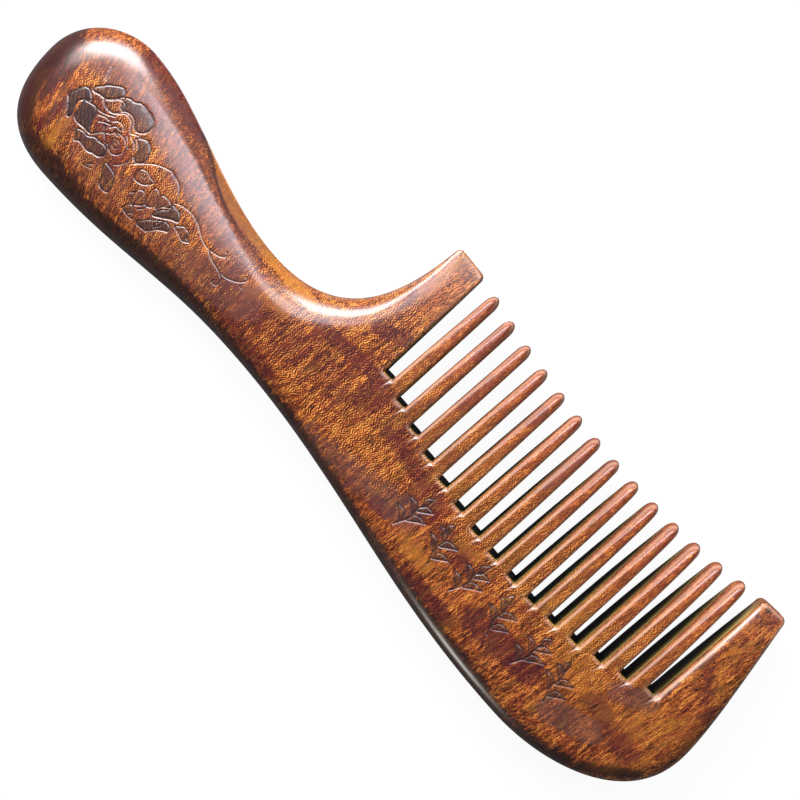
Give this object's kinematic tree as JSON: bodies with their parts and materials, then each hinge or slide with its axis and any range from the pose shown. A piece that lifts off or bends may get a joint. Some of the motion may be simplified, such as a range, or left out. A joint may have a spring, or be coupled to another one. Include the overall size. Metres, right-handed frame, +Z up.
{
  "type": "wide-tooth comb",
  "caption": "Flat wooden comb with widely spaced round-tipped teeth set into a curved back, a wide guard at each end and a waisted, round-ended handle.",
  "frame": {"origin": "Middle of the comb's length and height, on its flat underside, as it lies on a table.", "axes": "+X along the comb from the round end of the handle to the far end guard, +Y from the spine to the tips of the teeth, +Z up through the board's thickness."},
  "size_m": [0.1842, 0.0555, 0.011],
  "materials": {
    "back_wood": "waxed red-brown hardwood, semi-gloss",
    "tooth_wood": "waxed red-brown hardwood, semi-gloss"
  },
  "bodies": {
    "root": {"comb_back": "back_wood", "tooth_01": "tooth_wood", "tooth_02": "tooth_wood", "tooth_03": "tooth_wood", "tooth_04": "tooth_wood", "tooth_05": "tooth_wood", "tooth_06": "tooth_wood", "tooth_07": "tooth_wood", "tooth_08": "tooth_wood", "tooth_09": "tooth_wood", "tooth_10": "tooth_wood", "tooth_11": "tooth_wood", "tooth_12": "tooth_wood", "tooth_13": "tooth_wood", "tooth_14": "tooth_wood"}
  },
  "joints": []
}
